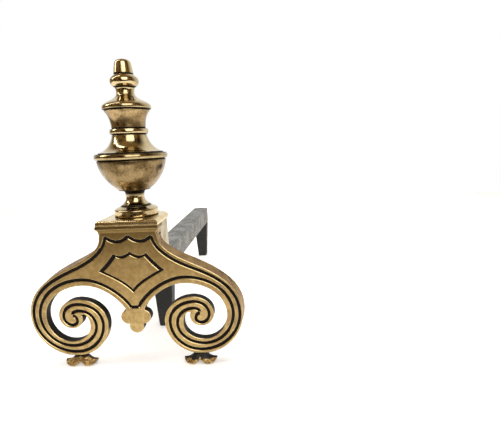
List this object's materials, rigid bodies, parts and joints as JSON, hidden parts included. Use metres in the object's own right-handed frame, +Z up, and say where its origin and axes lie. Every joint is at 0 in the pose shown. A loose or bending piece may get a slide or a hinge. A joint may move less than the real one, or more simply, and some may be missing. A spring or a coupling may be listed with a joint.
{
  "type": "andiron",
  "caption": "Brass andiron with a double scroll front, a turned urn-shaped finial and an iron billet bar on legs that carries the logs.",
  "frame": {"origin": "centre of the whole part's footprint, at hearth level", "axes": "+Z up, the brass front faces -Y, the billet bar runs along +Y, +X to the viewer's right when facing the front"},
  "size_m": [0.2592, 0.4845, 0.3613],
  "materials": {
    "cast_brass": "worn satin, dark in the cut lines",
    "turned_brass": "polished, aged to a brown gold",
    "plinth_brass": "polished",
    "wrought_iron": "hammered, grey scale",
    "black_iron": "matt black oxide",
    "steel": "dull"
  },
  "bodies": {
    "root": {"front_plate": "cast_brass", "left_foot": "cast_brass", "right_foot": "cast_brass", "plate_screws": "steel", "plinth_box": "plinth_brass", "top_plate": "plinth_brass", "foot_ring": "turned_brass", "stem": "turned_brass", "bowl": "turned_brass", "rim_bead": "turned_brass", "lid": "turned_brass", "waist_ring": "turned_brass", "upper_waist": "turned_brass", "cap": "turned_brass", "ball": "turned_brass", "tip_nut": "turned_brass", "tie_rod": "steel", "rod_washer": "steel", "rod_nut": "steel", "billet_bar": "wrought_iron", "front_leg": "black_iron", "rear_leg": "black_iron"}
  },
  "joints": []
}
